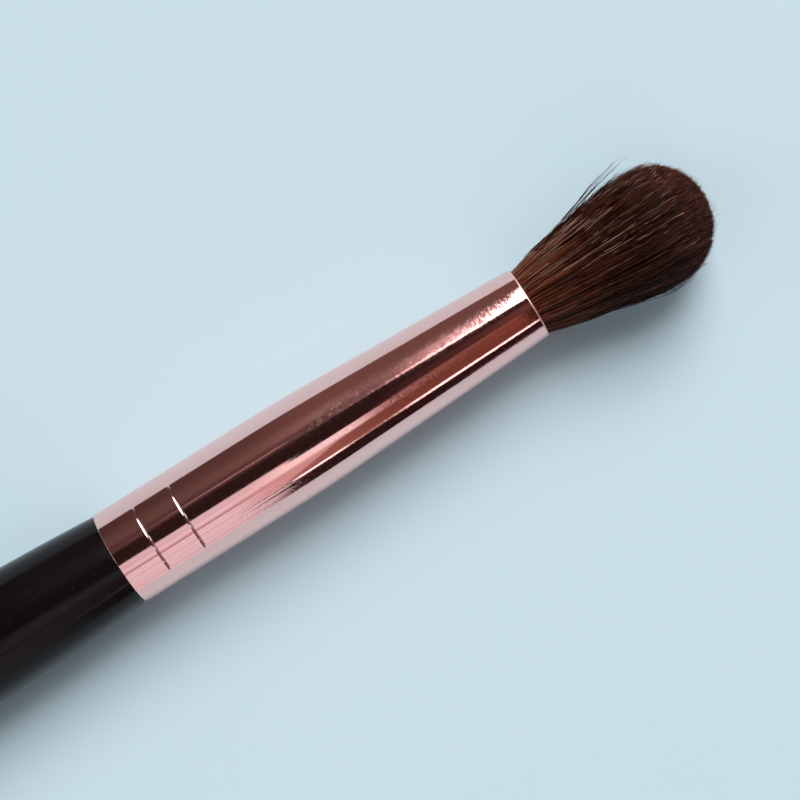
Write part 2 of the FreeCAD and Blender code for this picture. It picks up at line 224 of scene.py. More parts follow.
table_slope = (BELLY_RADIUS - HAIR_FULL_RADIUS) / (MOUTH + HAIR_FULL_PLACE)
SQUARE = ((-0.5, -0.5), (0.5, -0.5), (0.5, 0.5), (-0.5, 0.5))
table_mesh = bpy.data.meshes.new("table_top")
table_corners = [Vector((x, y, x * table_slope)) * TABLE_SIZE * MM for x, y in SQUARE]
table_mesh.from_pydata(table_corners, [], [range(4)])
table_mesh.transform(Matrix.Translation((0, 0, -BELLY_RADIUS * MM)))
table_material, tree, shader = new_material("table_top", Roughness=TABLE_ROUGHNESS)
cloud = noise(tree, TABLE_CLOUD).step(*NOISE_SPAN)
feed(tree, shader.inputs["Base Color"], cloud.mix(TABLE_SHADE, TABLE_COLOUR))
table = new_object("table_top", table_mesh, table_material)


# Light. A large softbox stands beyond the upper edge of the picture, and a pale window lights the other
# side. The room between them is a dim warm brown, dark overhead where the camera is, and paler far past
# both ends of the brush. A ray from the camera that misses everything meets a plain pale backdrop.
DEGREES = 180 / math.pi
BACKDROP_COLOUR = (0.62, 0.76, 0.82, 1)
ROOM_COLOUR = (0.074, 0.043, 0.038, 1)
WINDOW_COLOUR = (0.81, 0.79, 0.87, 1)
CURTAIN_COLOUR = (0.66, 0.57, 0.64, 1)
OVERHEAD_COLOUR = (0.021, 0.011, 0.011, 1)
BROWN_END_COLOUR = (0.070, 0.062, 0.060, 1)
PALE_END_COLOUR = (0.33, 0.36, 0.385, 1)
PANEL_COLOUR = (1.20, 1.20, 1.23, 1)
FOLDS_PER_DEGREE = 0.15
FOLD_DARK, FOLD_PALE = 0.36, 0.60
RAGS_PER_DEGREE = 0.22
RAG_DEPTH = 0.05
SOFTBOX_SLANT = 0.0007
WEDGE_SLANT = 200
WEDGE_FROM, WEDGE_TO = 14, 30
ALL_ROUND = (-180, 180)
# What the room holds, painted one over the other. Each row has a range of leans and how soft its edges
# are, then a range of places along the brush and their softness, and the colour. The lean is how far a
# direction leans from straight up towards -Y, in degrees. The place is how much of it points along +X, from
# -1 to 1, so that 2 sets no limit.
ROOM_PATCHES = (
    ("upper wall", (-60, 0), 16, (-0.3, 0.3), 0.05, (0.115, 0.074, 0.066, 1)),
    ("wall towards the hair", ALL_ROUND, 1, (-0.04, 2), 0.09, (0.150, 0.086, 0.078, 1)),
    ("upper wall towards the hair", (-52, -14), 10, (-0.05, 0.3), 0.05, (0.195, 0.125, 0.114, 1)),
    ("shade beside the overhead", (-33, -10), 5, (-0.3, 0.070), 0.03, (0.078, 0.046, 0.042, 1)),
    ("brown end beyond the hair", ALL_ROUND, 2, (0.25, 2), 0.03, BROWN_END_COLOUR),
    ("brown end behind the handle", ALL_ROUND, 2, (-2, -0.25), 0.03, BROWN_END_COLOUR),
    ("glow beside the softbox", (-43, -17), 5, (0.095, 0.5), 0.014, (0.48, 0.30, 0.30, 1)),
    ("rim of the softbox", (-21, -15.5), 1, (0.095, 0.5), 0.007, (1.90, 1.55, 1.50, 1)),
    ("softbox", (-53, -13), 9, (0.1275, 0.72), 0.007, (9.0, 8.9, 9.1, 1)),
    ("thin edge of light", (-24.0, -22.3), 0.5, (-0.10, -0.02), 0.01, (0.55, 0.38, 0.38, 1)),
    ("shade under the softbox", (-14, 22), 7, (0.085, 0.25), 0.02, (0.060, 0.026, 0.021, 1)),
    ("overhead", (-16.5, 13.7), 1.2, (-0.22, 0.09), 0.02, OVERHEAD_COLOUR),
    ("overhead beside the softbox", (-16.5, 1.0), 1.6, (0.085, 0.22), 0.02, (0.028, 0.011, 0.009, 1)),
    ("warm wall overhead", (-2, 16), 5, (0.136, 0.22), 0.006, (0.130, 0.056, 0.046, 1)),
    ("window", (13.2, 180), 0.8, (-0.36, -0.058), 0.008, WINDOW_COLOUR),
    ("window bar", (36.4, 40.6), 1.2, (-0.36, 0.0), 0.01, (0.50, 0.30, 0.31, 1)),
    ("second window bar", (26.6, 28.0), 0.6, (-0.36, -0.11), 0.01, (0.58, 0.44, 0.46, 1)),
    ("far wall", (13.2, 180), 2, (0.25, 2), 0.03, (0.095, 0.032, 0.034, 1)),
    ("brown wall", (16, 60), 2, (-0.035, 0.25), 0.010, (0.30, 0.135, 0.115, 1)),
    ("red wall", (20, 60), 6, (0.062, 0.25), 0.025, (0.165, 0.060, 0.042, 1)),
    ("amber wall", (24, 40), 6, (0.136, 0.150), 0.004, (0.30, 0.088, 0.048, 1)),
    ("dark end", (15, 60), 4, (0.1515, 0.25), 0.0015, (0.035, 0.014, 0.012, 1)),
    ("dark corner", (61.5, 93), 1.5, (-0.058, 0.25), 0.008, (0.022, 0.010, 0.010, 1)),
    ("pale edge of the dark corner", (85, 92), 1.5, (0.095, 0.16), 0.006, (0.17, 0.11, 0.13, 1)),
    ("end of the window", (14, 46.8), 3, (-0.070, 0.079), 0.005, (0.62, 0.41, 0.41, 1)),
    ("bright end of the window", (14, 33), 3, (-0.064, 0.070), 0.005, (0.98, 0.92, 0.96, 1)),
    ("overhead beside the window", (-16.5, 19.2), 1.0, (-0.030, 0.090), 0.008, OVERHEAD_COLOUR),
    ("bright edge", (59.4, 63.4), 0.7, (-0.040, 0.050), 0.006, (1.9, 1.7, 1.7, 1)),
    ("faint stretch of the bright edge", (59.4, 63.0), 0.7, (0.048, 0.080), 0.004, (0.40, 0.24, 0.24, 1)),
    ("bright edge towards the hair", (58.8, 64.2), 0.7, (0.080, 0.1545), 0.004, (2.4, 2.1, 2.1, 1)),
    ("lamp behind the handle", (-10, 3), 2, (-0.64, -0.46), 0.02, (1.5, 2.5, 2.8, 1)),
    ("lamp beyond the hair", (20, 27), 2, (0.38, 0.50), 0.02, (1.4, 2.3, 2.5, 1)),
    ("pale end beyond the hair", ALL_ROUND, 2, (0.66, 2), 0.03, PALE_END_COLOUR),
    ("pale end behind the handle", ALL_ROUND, 2, (-2, -0.66), 0.03, PALE_END_COLOUR),
    ("panel beyond the hair", (-64, -24), 5, (0.66, 2), 0.03, PANEL_COLOUR),
    ("panel behind the handle", (-64, -24), 5, (-2, -0.66), 0.03, PANEL_COLOUR),
)


def aimed(tree, direction):
    """The place along the brush and the lean of a direction."""
    along, aside, up = split(tree, direction)
    return along, (aside * -1).math("ARCTAN2", up) * DEGREES


def wavering(tree, value, scale, detail):
    """Noise from 0 to 1 that follows one value."""
    inputs = {"W": value, "Scale": scale, "Detail": detail}
    return Value(tree, node(tree, "ShaderNodeTexNoise", inputs, noise_dimensions="1D").outputs["Fac"])


world = bpy.data.worlds.new("room")
bpy.context.scene.world = world
world.use_nodes = True
tree = world.node_tree
along, lean = aimed(tree, node(tree, "ShaderNodeTexCoord").outputs["Generated"])
# Some patches have an edge of their own: ragged, slanting, or opening like a wedge.
ragged_along = along + (wavering(tree, lean, RAGS_PER_DEGREE, detail=1.0) - 0.5) * RAG_DEPTH
warped = {"window": (lean, ragged_along), "dark corner": (lean, ragged_along)}
warped["softbox"] = (lean, along + lean * SOFTBOX_SLANT)
warped["end of the window"] = (lean + along * lean.step(WEDGE_FROM, WEDGE_TO) * WEDGE_SLANT, along)
folds = wavering(tree, lean, FOLDS_PER_DEGREE, detail=3.0)
curtain = folds.step(FOLD_DARK, FOLD_PALE).mix(CURTAIN_COLOUR, WINDOW_COLOUR)
colour = ROOM_COLOUR
for name, lean_range, lean_soft, along_range, along_soft, patch in ROOM_PATCHES:
    patch_lean, patch_along = warped.get(name, (lean, along))
    mask = patch_lean.between(*lean_range, lean_soft) * patch_along.between(*along_range, along_soft)
    colour = mask.mix(colour, curtain if name == "window" else patch)
seen = Value(tree, node(tree, "ShaderNodeLightPath").outputs["Is Camera Ray"])
background = next(n for n in tree.nodes if n.type == "BACKGROUND")
feed(tree, background.inputs["Color"], seen.mix(colour, BACKDROP_COLOUR))


# Handle. One piece of turned hardwood under many coats of near-black lacquer, polished to a soft gloss.
# It swells behind the ferrule, thins to a rounded tail, and its spigot goes into the ferrule.
GRIP_RADIUS = BELLY_RADIUS
LAND_FRONT = frame["record"]["mounts"][0]["dims"]["length_mm"] / 2
LAND_BACK = -LAND_FRONT
TAIL_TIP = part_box("handle")[0].x / MM
SPIGOT_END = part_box("handle")[1].x / MM
TUBE_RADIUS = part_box("ferrule")[1].z / MM
SHOULDER_STEP = 0.1
SHOULDER_RADIUS = TUBE_RADIUS - SHOULDER_STEP
TAIL_RADIUS = 2.3
SPIGOT_STEP = 0.43
SPIGOT_RADIUS = TUBE_RADIUS - SPIGOT_STEP
SPIGOT_LEAD = 0.6
TURNED_STEPS = 160
RING_SPACING = 0.8
TOUCHING = 1e-6
# A support point lies this far beside a corner, where that is less than this share of the stretch.
SUPPORT, MOST_SUPPORT = 0.02, 0.25
CORNER, CREASE = math.radians(3), math.radians(40)
LACQUER_DEEP = (0.0045, 0.0026, 0.0026, 1)
LACQUER = (0.0070, 0.0042, 0.0042, 1)
LACQUER_DUST = (0.021, 0.016, 0.016, 1)
LACQUER_GLOSSY, LACQUER_DULL, DUST_DULL = 0.10, 0.22, 0.3


def arc(centre, radius, start, end, spacing=RING_SPACING, least=6):
    """Points (x, radius) along an arc from one angle to another, in radians."""
    steps = max(least, math.ceil(abs(end - start) * radius / spacing))
    angles = [start + (end - start) * i / steps for i in range(steps + 1)]
    return [(centre[0] + radius * math.cos(a), centre[1] + radius * math.sin(a)) for a in angles]


def straight(start, end, spacing=RING_SPACING):
    """Points along a straight line, close enough together for clean reflections."""
    steps = max(1, math.ceil(math.dist(start, end) / spacing))
    return [tuple(a + (b - a) * i / steps for a, b in zip(start, end)) for i in range(steps + 1)]


def supported(points):
    """Adds a point close beside each corner, so that smooth shading leaves the next stretch level."""
    headings = [math.atan2(b[1] - a[1], b[0] - a[0]) for a, b in zip(points, points[1:])]
    pairs = zip(headings[-1:] + headings, headings)
    turns = [abs(math.remainder(after - before, 2 * math.pi)) for before, after in pairs]
    made = []
    for i, (start, end) in enumerate(zip(points, points[1:])):
        made.append(start)
        share = SUPPORT / math.dist(start, end)
        if share < MOST_SUPPORT and turns[i] > CORNER:
            made.append(tuple(a + (b - a) * share for a, b in zip(start, end)))
        if share < MOST_SUPPORT and turns[(i + 1) % len(turns)] > CORNER:
            made.append(tuple(b + (a - b) * share for a, b in zip(start, end)))
    return made + points[-1:]


def turned(name, outline, material, closed=False, steps=TURNED_STEPS):
    """Turns an outline about X. It runs from the axis to the axis, or is a closed loop off the axis."""
    points = [p for i, p in enumerate(outline) if i == 0 or math.dist(p, outline[i - 1]) > TOUCHING]
    if closed:
        points += points[:1]
    points = supported(points)
    turns = [2 * math.pi * i / steps for i in range(steps)]
    made = bmesh.new()
    rings = []
    travelled = [0.0]
    for i, (x, radius) in enumerate(points):
        if i:
            travelled.append(travelled[-1] + math.dist(points[i - 1], (x, radius)))
        if closed and i == len(points) - 1:
            rings.append(rings[0])
        elif radius < TOUCHING:
            rings.append([made.verts.new((x * MM, 0, 0))])
        else:
            circle = [(x, radius * math.cos(a), radius * math.sin(a)) for a in turns]
            rings.append([made.verts.new(Vector(place) * MM) for place in circle])
    uv = made.loops.layers.uv.new("OFBake")
    for row in range(len(points) - 1):
        near, far = rings[row], rings[row + 1]
        for i in range(steps):
            corners = []
            around = ((near, i, row), (near, i + 1, row), (far, i + 1, row + 1), (far, i, row + 1))
            for ring, step, where in around:
                vertex = ring[step % len(ring)]
                if all(vertex is not other for other, _ in corners):
                    corners.append((vertex, (step / steps, travelled[where] / travelled[-1])))
            face = made.faces.new([vertex for vertex, _ in corners])
            face.smooth = True
            for loop, (_, place) in zip(face.loops, corners):
                loop[uv].uv = place
    bmesh.ops.recalc_face_normals(made, faces=made.faces)
    mesh = bpy.data.meshes.new(name)
    made.to_mesh(mesh)
    made.free()
    mesh.set_sharp_from_angle(angle=CREASE)
    return new_object(name, mesh, material)


back_run = LAND_BACK - (TAIL_TIP + TAIL_RADIUS)
back_radius = (back_run**2 + GRIP_RADIUS**2 - TAIL_RADIUS**2) / (2 * (GRIP_RADIUS - TAIL_RADIUS))
back_centre = (LAND_BACK, GRIP_RADIUS - back_radius)
tail_centre = (TAIL_TIP + TAIL_RADIUS, 0)
back_angle = math.atan2(tail_centre[1] - back_centre[1], tail_centre[0] - back_centre[0])
flare = SHOULDER - LAND_FRONT
flare_drop = GRIP_RADIUS - SHOULDER_RADIUS
flare_radius = (flare**2 + flare_drop**2) / (2 * flare_drop)
flare_centre = (LAND_FRONT, GRIP_RADIUS - flare_radius)
flare_angle = math.acos(flare / flare_radius)

lacquer, tree, shader = new_material("lacquered_wood", IOR=1.27)
grain = noise(tree, 1.0, stretch=(9, 1, 1), detail=4, roughness=0.6)
cloud = noise(tree, 6.0, stretch=(2, 1, 1), detail=3)
specks = noise(tree, 0.16, detail=1).step(0.72, 0.76)
varnish = (cloud * 0.5 + grain * 0.5).step(*NOISE_SPAN).mix(LACQUER_DEEP, LACQUER)
feed(tree, shader.inputs["Base Color"], specks.mix(varnish, LACQUER_DUST))
feed(tree, shader.inputs["Roughness"], cloud.mix(LACQUER_GLOSSY, LACQUER_DULL) + specks * DUST_DULL)
bumped(tree, shader, grain * 0.5 + cloud * 0.5, depth=0.02, strength=0.12)

handle = turned(
    "handle_turned",
    arc(tail_centre, TAIL_RADIUS, math.pi, back_angle, spacing=0.2)
    + arc(back_centre, back_radius, back_angle, math.pi / 2, spacing=1.5)
    + straight((LAND_BACK, GRIP_RADIUS), (LAND_FRONT, GRIP_RADIUS), spacing=1.5)
    + arc(flare_centre, flare_radius, math.pi / 2, flare_angle)
    + [(SHOULDER, SPIGOT_RADIUS)]
    + straight((SHOULDER, SPIGOT_RADIUS), (SPIGOT_END - SPIGOT_LEAD, SPIGOT_RADIUS), spacing=4)
    + [(SPIGOT_END, SPIGOT_RADIUS - SPIGOT_LEAD), (SPIGOT_END, 0)],
    lacquer,
)
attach(handle, "root")
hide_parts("handle")


# Ferrule. A drawn aluminium tube, anodised rose gold and polished, tapered and rolled in at the mouth.
# Two fine rings are pressed into it near its handle end, and lock it on the wood.
TUBE_WALL = 0.3
MOUTH_RADIUS = 3.21
BEND_PLACE = SHOULDER + 15.0
BEND_RADIUS = 120.0
LIP_ROUND = 0.14
LIP_BLEND = 0.01
CUT_ROUND = 0.045
PRESSED_RINGS = (SHOULDER + 3.35, SHOULDER + 6.75)
PRESS_WIDTH, PRESS_DEPTH = 0.26, 0.03
PRESS_STEPS = 16
ROSE_GOLD = (1.0, 0.62, 0.585, 1)
ROSE_GOLD_DEEP = (0.98, 0.565, 0.52, 1)
SHEER, HAZY, SATIN = 0.045, 0.105, 0.5
GRAIN_FROM, GRAIN_TO = BEND_PLACE + 9.0, BEND_PLACE + 16.0
RELIEF_DEPTH, DRAWN_SHARE = 0.002, 0.1


def pressed(start, end, radius):
    """Points along the parallel stretch of the tube, dipping at each pressed ring."""
    points = [(start, radius)]
    for ring in PRESSED_RINGS:
        left = ring - PRESS_WIDTH / 2
        points += straight(points[-1], (left, radius))
        for i in range(1, PRESS_STEPS + 1):
            share = i / PRESS_STEPS
            dip = PRESS_DEPTH * (1 - math.cos(2 * math.pi * share)) / 2
            points.append((left + PRESS_WIDTH * share, radius - dip))
    return points + straight(points[-1], (end, radius))


def bent(radius, mouth_radius, bend_radius):
    """Points from the end of the parallel stretch, through the bend and down the taper, to the mouth."""
    centre = (BEND_PLACE, radius - bend_radius)
    away = (MOUTH - centre[0], mouth_radius - centre[1])
    angle = math.atan2(away[1], away[0]) + math.acos(bend_radius / math.hypot(*away))
    bend = arc(centre, bend_radius, math.pi / 2, angle)
    return bend + straight(bend[-1], (MOUTH, mouth_radius))


rose_gold, tree, shader = new_material("rose_gold_aluminium", Metallic=1.0)
drawn = noise(tree, 0.12, stretch=(60, 1, 1), detail=3, roughness=0.6)
grain = noise(tree, 0.20, stretch=(1, 1.3, 1.3), detail=1.5)
patina = noise(tree, 3.0, stretch=(3, 1, 1), detail=3)
tint = (patina * 0.5 + drawn * 0.5).step(0.35, 0.7)
feed(tree, shader.inputs["Base Color"], tint.mix(ROSE_GOLD, ROSE_GOLD_DEEP))
place_x = split(tree, node(tree, "ShaderNodeTexCoord").outputs["Object"])[0] / MM
polished = (grain * 0.6 + patina * 0.4).step(0.38, 0.62).mix(SHEER, HAZY)
lip_start = MOUTH - LIP_ROUND
lip = place_x.step(lip_start - LIP_BLEND, lip_start + LIP_BLEND)
feed(tree, shader.inputs["Roughness"], lip.mix(polished, SATIN))
grainy = place_x.step(GRAIN_FROM, GRAIN_TO)
bumped(tree, shader, drawn * DRAWN_SHARE + grain * grainy, depth=RELIEF_DEPTH, strength=1.0)

tube_outline = (
    arc((SHOULDER + CUT_ROUND, TUBE_RADIUS - CUT_ROUND), CUT_ROUND, math.pi, math.pi / 2)
    + pressed(SHOULDER + CUT_ROUND, BEND_PLACE, TUBE_RADIUS)
    + [p for p in bent(TUBE_RADIUS, MOUTH_RADIUS, BEND_RADIUS) if p[0] < lip_start]
    + arc((lip_start, MOUTH_RADIUS - LIP_ROUND), LIP_ROUND, math.pi / 2, 0)
    + bent(TUBE_RADIUS - TUBE_WALL, MOUTH_RADIUS - TUBE_WALL, BEND_RADIUS - TUBE_WALL)[::-1]
    + [(SHOULDER, TUBE_RADIUS - TUBE_WALL)]
)
ferrule = turned("ferrule_tube", tube_outline, rose_gold, closed=True)
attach(ferrule, "root")
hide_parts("ferrule")


# Hair. Thousands of fine brown hairs, tied at the root and trimmed to a round crown, so that each one ends
# at the dome. They fan out from the mouth and cling together in locks. Long light hairs and some strays lie
# outside, and a solid bundle, a little smaller and painted as dark shade, fills the depth between the
# locks.
HAIR_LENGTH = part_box("hair_tuft")[1].x / MM - MOUTH
ROOT_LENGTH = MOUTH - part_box("hair_tuft")[0].x / MM
HAIR_MOUTH_GAP = 0.015
HAIR_MOUTH_RADIUS = MOUTH_RADIUS - TUBE_WALL - HAIR_MOUTH_GAP
FLANK_RADIUS = 16.0
CROWN_RADIUS = 5.2
# Just outside the mouth the bundle swells, over the first range of places, and it is back over the second.
ROOT_SWELL = 0.2
SWELL_RISE, SWELL_FALL = (0.1, 1.2), (2, 6)
# The whole bundle leans aside, and single hairs wander, dive and lift off it. Each tapers to its tip.
LEAN_ASIDE = 0.23
LEAN_BEND = 1.1
LIFT_BEND = 1.2
LIFT_DRAW = (0.1, 1.0)
HAIR_WANDER = 0.95
WANDERS_PER_MM = 0.26
WANDER_APART = 7.31
HAIR_SPREAD = 0.04
HAIR_DIVE_SHARE = 0.17
TAPER_FROM, TAPER_SHARE = 0.6, 0.7
MOST_DRAWS = 100
# Locks of hair: how wide each kind is, as a share of the bundle's radius, and how much it draws hair in.
LOCK_SHARES = ((0.24, 0.14), (0.085, 0.42))
LOCK_LIMIT_SHARE = 0.93
LOCK_LOOSE_SHARE = 0.7
LOCK_PULL_DRAW = (0.5, 1.1)
LEAST_OUTLYING = 0.01
# They stand out or lie back by this share. It sets in over the first range, as shares of the hair's length,
# and part of it fades over the second.
LOCK_DEPTH_SHARE = 0.10
LOCK_SHOWS, LOCK_FADES, LOCK_FADE_SHARE = (0.0, 0.35), (0.6, 1.0), 0.8
# Where a hair's tone, the side of it and the place along it lie on the map.
TONE_COLUMNS = 256
SIDE_START, SIDE_SPAN = 0.2, 0.6
OUT_START, OUT_SPAN = 0.01, 0.9
HAIR_INK = (0.009, 0.0019, 0.0009, 1)
HAIR_BROWN = (0.112, 0.027, 0.0115, 1)
HAIR_GOLD = (0.46, 0.29, 0.23, 1)
ROOT_WARMTH = (0.190, 0.044, 0.017, 1)
TIP_PLUM = (0.225, 0.068, 0.050, 1)
HAIR_SHEEN = (1.0, 0.72, 0.55, 1)
BROWN_TONE = 0.88
GOLD_TONES = (0.89, 0.99)
MOTTLE_LEAST, MOTTLE_SPAN = 0.55, 0.9
# How far out the warmth and the plum reach along the hair, and in which shades they show.
WARM_OUT, WARM_SHADES, WARM_SHARE = (0.0, 0.45), (0.0, 0.6), 0.7
PLUM_OUT, PLUM_SHADES = (0.55, 1.0), (0.05, 0.6)
HAIR_DULL, HAIR_SHINY = 0.46, 0.34
CORE_SHARE = 0.80
CORE_ROOT_SHARE = 0.98
CORE_CROWN_DEPTH = 2.2
CORE_STEPS = 64
# The colours of the solid bundle, near black and darker than any hair: painted shade.
CORE_SHADE_DARK = (0.004, 0.0014, 0.001, 1)
CORE_SHADE_BROWN = (0.016, 0.006, 0.004, 1)

crown_place = HAIR_LENGTH - CROWN_RADIUS
across = HAIR_FULL_PLACE - crown_place
brow_radius = (across**2 + HAIR_FULL_RADIUS**2 - CROWN_RADIUS**2) / (2 * (HAIR_FULL_RADIUS - CROWN_RADIUS))
brow_height = HAIR_FULL_RADIUS - brow_radius
brow_angle = math.atan2(brow_height, across)
crown_start_radius = CROWN_RADIUS * math.sin(brow_angle)
flank_centre = (HAIR_FULL_PLACE, HAIR_FULL_RADIUS - FLANK_RADIUS)
flank_away = (-flank_centre[0], HAIR_MOUTH_RADIUS - flank_centre[1])
flank_angle = math.atan2(flank_away[1], flank_away[0]) - math.acos(FLANK_RADIUS / math.hypot(*flank_away))
flank_start = flank_centre[0] + FLANK_RADIUS * math.cos(flank_angle)
flank_slope = -1 / math.tan(flank_angle)

HAIR_INPUTS = (
    ("Strands", "Int", 1000),
    ("Seed", "Int", 1),
    ("Points", "Int", 12),
    ("Thickness", "Float", 0.085),
    ("Start", "Float", -1.5),
    ("Start spread", "Float", 0.0),
    ("Inner share", "Float", 0.0),
    ("Outer share", "Float", 1.0),
    ("Turn from", "Float", 0.0),
    ("Turn to", "Float", 2 * math.pi),
    ("Lock pull", "Float", 1.0),
    ("Lock tone", "Float", 0.5),
    # How much lighter the hair is painted on +Y and darker on -Y: painted light and shade.
    ("Side tone", "Float", 0.26),
    ("Lift", "Float", 0.0),
    ("Uneven", "Float", 0.35),
    ("Shorter", "Float", 0.0),
    ("Tone from", "Float", 0.0),
    ("Tone to", "Float", BROWN_TONE),
    ("Tone bias", "Float", 2.9),
)
# The kinds of hair, each with what differs from these defaults.
HAIR_KINDS = (
    ("hair_outer_1", dict(Seed=11, Strands=2700, Inner_share=0.78, Tone_to=0.95)),
    ("hair_outer_2", dict(Seed=12, Strands=2700, Inner_share=0.78, Tone_to=0.95)),
    ("hair_crown_1", dict(Seed=21, Strands=5200, Points=6, Start=8.5, Outer_share=0.86)),
    ("hair_crown_2", dict(Seed=22, Strands=5200, Points=6, Start=8.5, Outer_share=0.86)),
    ("hair_fuzz", dict(
        Seed=25, Strands=1800, Points=7, Thickness=0.05, Start=9.0, Inner_share=0.2, Lift=0.06, Uneven=0.85,
        Tone_bias=1.6,
    )),
    ("hair_light", dict(
        Seed=31, Strands=110, Thickness=0.055, Inner_share=0.95, Outer_share=1.02, Lock_pull=0.3,
        Lock_tone=0.0, Side_tone=0.5, Shorter=12.0, Tone_from=0.87, Tone_to=0.985, Tone_bias=1.8,
    )),
    ("hair_light_middle", dict(
        Seed=32, Strands=150, Thickness=0.055, Start=3.0, Start_spread=9.0, Inner_share=0.94,
        Outer_share=1.02, Lock_pull=0.3, Lock_tone=0.0, Side_tone=0.9, Shorter=3.0, Tone_from=0.88,
        Tone_to=0.985, Tone_bias=2.6,
    )),
    ("hair_light_tips", dict(
        Seed=33, Strands=700, Points=6, Thickness=0.055, Start=11.0, Start_spread=3.5, Inner_share=0.5,
        Lock_pull=0.3, Lock_tone=0.0, Side_tone=0.6, Tone_from=0.87, Tone_to=0.98, Tone_bias=1.4,
    )),
    ("hair_flyaway", dict(
        Seed=45, Strands=32, Thickness=0.06, Start=0.6, Start_spread=3.0, Inner_share=0.97, Turn_from=-0.38,
        Turn_to=0.38, Lock_pull=0.0, Lift=0.5, Shorter=4.0, Tone_to=0.6,
    )),
    ("hair_flyaway_low", dict(
        Seed=48, Strands=16, Points=8, Thickness=0.045, Start=7.5, Start_spread=4.5, Inner_share=0.96,
        Turn_from=2.7, Turn_to=3.6, Lock_pull=0.0, Lift=0.17, Tone_to=0.8,
    )),
    ("hair_stray", dict(
        Seed=42, Strands=90, Points=8, Thickness=0.05, Start=6.0, Inner_share=0.96, Lock_pull=0.0,
        Lift=0.13, Uneven=0.6, Tone_to=0.3,
    )),
)


def dome_end(share):
    """The place on the dome where a hair ends that lies at this share of the bundle's radius."""
    radius = (share * HAIR_FULL_RADIUS).math("MINIMUM", HAIR_FULL_RADIUS)
    on_crown = crown_place + (CROWN_RADIUS**2 - radius**2).math("MAXIMUM", 0).math("SQRT")
    off_brow = radius - brow_height
    on_brow = HAIR_FULL_PLACE + (brow_radius**2 - off_brow**2).math("MAXIMUM", 0).math("SQRT")
    return radius.math("GREATER_THAN", crown_start_radius).mix(on_crown, on_brow)


def bundle_radius(x):
    """How far the bundle has fanned out at this place."""
    before_full = HAIR_FULL_PLACE - x.math("MINIMUM", HAIR_FULL_PLACE)
    bowed = flank_centre[1] + (FLANK_RADIUS**2 - before_full**2).math("SQRT")
    fanned = x.math("LESS_THAN", flank_start).mix(bowed, HAIR_MOUTH_RADIUS + x * flank_slope)
    swell = x.step(*SWELL_RISE) * (1 - x.step(*SWELL_FALL)) * ROOT_SWELL
    return fanned.math("MAXIMUM", HAIR_MOUTH_RADIUS) + swell


def as_tubes(tree, laid, along, thickness, tone, out):
    """Thin tapering tubes along the laid strands, whose map holds each strand's tone and place."""
    kept = node(tree, "GeometryNodeCaptureAttribute", {"Geometry": laid})
    for name, number in (("Tone", tone), ("Out", out)):
        kept.capture_items.new("FLOAT", name)
        feed(tree, kept.inputs[name], number)
    ring = node(tree, "GeometryNodeCurvePrimitiveCircle", {"Resolution": 3, "Radius": thickness / 2})
    sides = node(tree, "GeometryNodeCaptureAttribute", {"Geometry": ring.outputs[0]})
    sides.capture_items.new("FLOAT", "Side")
    feed(tree, sides.inputs["Side"], node(tree, "GeometryNodeSplineParameter").outputs["Factor"])
    swept = {
        "Curve": kept.outputs["Geometry"],
        "Profile Curve": sides.outputs["Geometry"],
        "Scale": 1 - along.step(TAPER_FROM, 1.0) * TAPER_SHARE,
        "Fill Caps": True,
    }
    tubes = node(tree, "GeometryNodeCurveToMesh", swept)
    column = (Value(tree, kept.outputs["Tone"]) * TONE_COLUMNS).math("FLOOR")
    map_x = (column + Value(tree, sides.outputs["Side"]) * SIDE_SPAN + SIDE_START) / TONE_COLUMNS
    map_y = Value(tree, kept.outputs["Out"]) * OUT_SPAN + OUT_START
    inputs = {"Geometry": tubes.outputs[0], "Name": "OFBake", "Value": joined(tree, map_x, map_y)}
    mapped = node(tree, "GeometryNodeStoreNamedAttribute", inputs, data_type="FLOAT2", domain="CORNER")
    return mapped.outputs[0]


